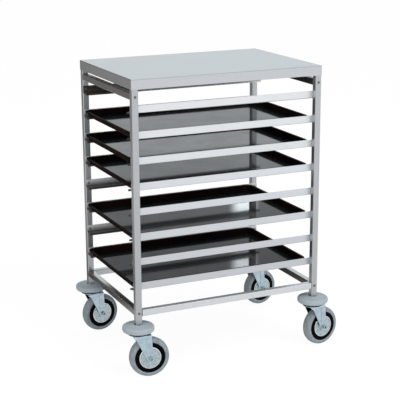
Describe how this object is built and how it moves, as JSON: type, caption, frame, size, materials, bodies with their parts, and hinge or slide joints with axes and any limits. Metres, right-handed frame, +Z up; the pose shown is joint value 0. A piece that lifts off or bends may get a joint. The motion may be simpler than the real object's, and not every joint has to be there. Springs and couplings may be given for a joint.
{
  "type": "bakery tray trolley",
  "caption": "Low steel tray trolley with a flat worktop, open runners for baking trays that slide in from either end, and swivel castors with bumper discs.",
  "frame": {"origin": "on the floor, below the middle of the trolley's outline seen from above", "axes": "+X along the long side towards the trailing wheels, +Y from the front to the back, +Z up"},
  "size_m": [0.7476, 0.524, 0.915],
  "materials": {
    "worktop_steel": "stainless sheet with a fine satin grind",
    "tube_steel": "stainless square tube, ground along its length",
    "runner_steel": "bright folded stainless strip",
    "fastener_steel": "dull stainless rivets and screws",
    "tray_coating": "dark brown-black glossy non-stick coating",
    "bumper_plastic": "pale blue-grey plastic",
    "zinc_plate": "bright bluish zinc plating",
    "guard_zinc": "bright bluish zinc plating",
    "wheel_plastic": "black moulded nylon",
    "grey_rubber": "grey non-marking rubber"
  },
  "bodies": {
    "frame": {"worktop": "worktop_steel", "post_front_left": "tube_steel", "post_front_right": "tube_steel", "post_back_left": "tube_steel", "post_back_right": "tube_steel", "long_rail_front": "tube_steel", "long_rail_back": "tube_steel", "top_end_rail_left": "tube_steel", "low_end_rail_left": "tube_steel", "top_end_rail_right": "tube_steel", "low_end_rail_right": "tube_steel", "runner_front_1": "runner_steel", "runner_front_2": "runner_steel", "runner_front_3": "runner_steel", "runner_front_4": "runner_steel", "runner_front_5": "runner_steel", "runner_front_6": "runner_steel", "runner_front_7": "runner_steel", "runner_front_8": "runner_steel", "runner_back_1": "runner_steel", "runner_back_2": "runner_steel", "runner_back_3": "runner_steel", "runner_back_4": "runner_steel", "runner_back_5": "runner_steel", "runner_back_6": "runner_steel", "runner_back_7": "runner_steel", "runner_back_8": "runner_steel", "runner_rivets": "fastener_steel", "rail_screws": "fastener_steel", "bumper_front_left": "bumper_plastic", "fitting_front_left": "zinc_plate", "bumper_front_right": "bumper_plastic", "fitting_front_right": "zinc_plate", "bumper_back_left": "bumper_plastic", "fitting_back_left": "zinc_plate", "bumper_back_right": "bumper_plastic", "fitting_back_right": "zinc_plate"},
    "tray_2": {"tray_2": "tray_coating"},
    "tray_3": {"tray_3": "tray_coating"},
    "tray_4": {"tray_4": "tray_coating"},
    "tray_6": {"tray_6": "tray_coating"},
    "tray_8": {"tray_8": "tray_coating"},
    "swivel_front_left": {"fork_front_left": "zinc_plate", "axle_front_left": "guard_zinc"},
    "wheel_front_left": {"wheel_centre_front_left": "wheel_plastic", "tyre_front_left": "grey_rubber"},
    "swivel_front_right": {"fork_front_right": "zinc_plate", "axle_front_right": "guard_zinc"},
    "wheel_front_right": {"wheel_centre_front_right": "wheel_plastic", "tyre_front_right": "grey_rubber"},
    "swivel_back_left": {"fork_back_left": "zinc_plate", "axle_back_left": "guard_zinc"},
    "wheel_back_left": {"wheel_centre_back_left": "wheel_plastic", "tyre_back_left": "grey_rubber"},
    "swivel_back_right": {"fork_back_right": "zinc_plate", "axle_back_right": "guard_zinc"},
    "wheel_back_right": {"wheel_centre_back_right": "wheel_plastic", "tyre_back_right": "grey_rubber"}
  },
  "joints": [
    {"name": "tray_2_slide", "type": "slide", "parent": "frame", "child": "tray_2", "axis": [1, 0, 0], "range_m": [-0.5, 0.5]},
    {"name": "tray_3_slide", "type": "slide", "parent": "frame", "child": "tray_3", "axis": [1, 0, 0], "range_m": [-0.5, 0.5]},
    {"name": "tray_4_slide", "type": "slide", "parent": "frame", "child": "tray_4", "axis": [1, 0, 0], "range_m": [-0.5, 0.5]},
    {"name": "tray_6_slide", "type": "slide", "parent": "frame", "child": "tray_6", "axis": [1, 0, 0], "range_m": [-0.5, 0.5]},
    {"name": "tray_8_slide", "type": "slide", "parent": "frame", "child": "tray_8", "axis": [1, 0, 0], "range_m": [-0.5, 0.5]},
    {"name": "swivel_front_left_turn", "type": "hinge", "parent": "frame", "child": "swivel_front_left", "pos_m": [-0.32477, -0.213, 0.14], "axis": [0, 0, 1], "continuous": true},
    {"name": "wheel_front_left_roll", "type": "hinge", "parent": "swivel_front_left", "child": "wheel_front_left", "pos_m": [-0.29301, -0.2169, 0.0625], "axis": [0.1219, 0.9925, 0], "continuous": true},
    {"name": "swivel_front_right_turn", "type": "hinge", "parent": "frame", "child": "swivel_front_right", "pos_m": [0.28023, -0.213, 0.14], "axis": [0, 0, 1], "continuous": true},
    {"name": "wheel_front_right_roll", "type": "hinge", "parent": "swivel_front_right", "child": "wheel_front_right", "pos_m": [0.31174, -0.20744, 0.0625], "axis": [-0.1736, 0.9848, 0], "continuous": true},
    {"name": "swivel_back_left_turn", "type": "hinge", "parent": "frame", "child": "swivel_back_left", "pos_m": [-0.32477, 0.213, 0.14], "axis": [0, 0, 1], "continuous": true},
    {"name": "wheel_back_left_roll", "type": "hinge", "parent": "swivel_back_left", "child": "wheel_back_left", "pos_m": [-0.29316, 0.21801, 0.0625], "axis": [-0.1564, 0.9877, 0], "continuous": true},
    {"name": "swivel_back_right_turn", "type": "hinge", "parent": "frame", "child": "swivel_back_right", "pos_m": [0.28023, 0.213, 0.14], "axis": [0, 0, 1], "continuous": true},
    {"name": "wheel_back_right_roll", "type": "hinge", "parent": "swivel_back_right", "child": "wheel_back_right", "pos_m": [0.31174, 0.21856, 0.0625], "axis": [-0.1736, 0.9848, 0], "continuous": true}
  ]
}
